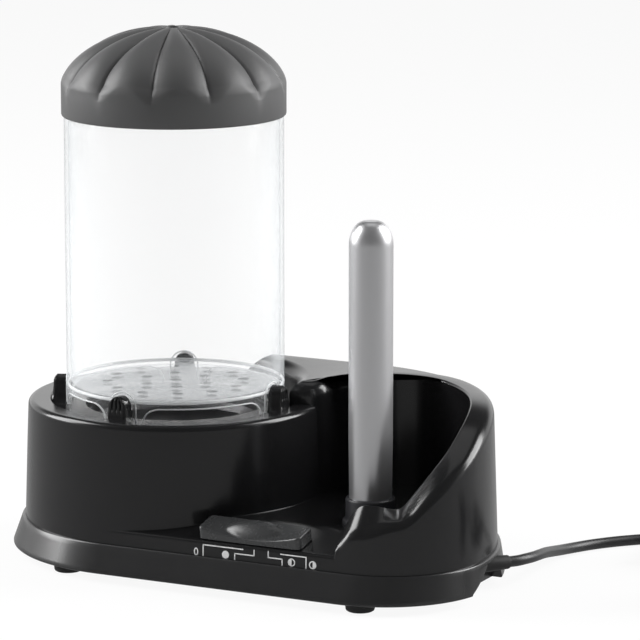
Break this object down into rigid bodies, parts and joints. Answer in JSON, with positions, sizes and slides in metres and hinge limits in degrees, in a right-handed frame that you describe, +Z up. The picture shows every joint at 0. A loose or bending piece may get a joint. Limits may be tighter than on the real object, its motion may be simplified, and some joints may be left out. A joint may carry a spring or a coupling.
{
  "type": "hot dog steamer",
  "caption": "Tabletop hot dog steamer: a clear lidded sausage container on a round black steam tower, beside a tray with a heated bun spike and a slide switch.",
  "frame": {"origin": "under the middle of the base, on the table the rubber feet stand on", "axes": "+Z up, front with the switch towards -Y, tower on the left at -X, tray with the spike at +X"},
  "size_m": [0.4032, 0.2231, 0.2706],
  "materials": {
    "housing_black": "polished moulding",
    "skirt_black": "polished moulding",
    "clear_plastic": "clear",
    "lid_grey": "fine satin",
    "cap_grey": "fine satin",
    "spike_metal": "satin, brushed along its length",
    "collar_black": "satin",
    "dish_steel": "pressed sheet",
    "seal_black": "silicone",
    "screw_steel": "plated",
    "heater_metal": "as cast",
    "tube_metal": "oxidised",
    "ceramic": "unglazed",
    "fuse_metal": "plated",
    "inner_black": "as moulded",
    "sleeve": "silicone sleeve",
    "rubber_black": "matt",
    "cord_black": "satin jacket",
    "tie_grey": "satin",
    "plug_black": "moulded on",
    "pin_metal": "nickel plated"
  },
  "bodies": {
    "base": {"upper_housing": "housing_black", "container_lugs": "housing_black", "bottom_shell": "skirt_black", "spike": "spike_metal", "spike_collar": "collar_black", "water_dish": "dish_steel", "dish_clamp": "dish_steel", "dish_seal": "seal_black", "dish_screws": "screw_steel", "switch_screws": "screw_steel", "clamp_screws": "screw_steel", "base_screws": "screw_steel", "spike_nut": "screw_steel", "heat_plate": "heater_metal", "heating_tube": "tube_metal", "thermostat": "ceramic", "spike_heater": "ceramic", "spike_insulator": "ceramic", "terminal_block": "ceramic", "thermal_fuse": "fuse_metal", "switch_body": "inner_black", "cord_clamp": "inner_black", "heater_leads": "sleeve", "spike_leads": "sleeve", "rubber_feet": "rubber_black", "cord_gland": "rubber_black", "cord_lead": "cord_black", "cord_coil": "cord_black", "cord_tail": "cord_black", "cord_tie": "tie_grey", "plug_body": "plug_black", "plug_pins": "pin_metal"},
    "container": {"container": "clear_plastic"},
    "lid": {"lid": "lid_grey"},
    "switch": {"switch_cap": "cap_grey", "switch_slider": "inner_black"}
  },
  "joints": [
    {"name": "container_lift", "type": "slide", "parent": "base", "child": "container", "axis": [0, 0, 1], "range_m": [0, 0.1]},
    {"name": "lid_lift", "type": "slide", "parent": "container", "child": "lid", "axis": [0, 0, 1], "range_m": [0, 0.06]},
    {"name": "switch_slide", "type": "slide", "parent": "base", "child": "switch", "axis": [1, 0, 0], "range_m": [-0.0075, 0.015]}
  ]
}
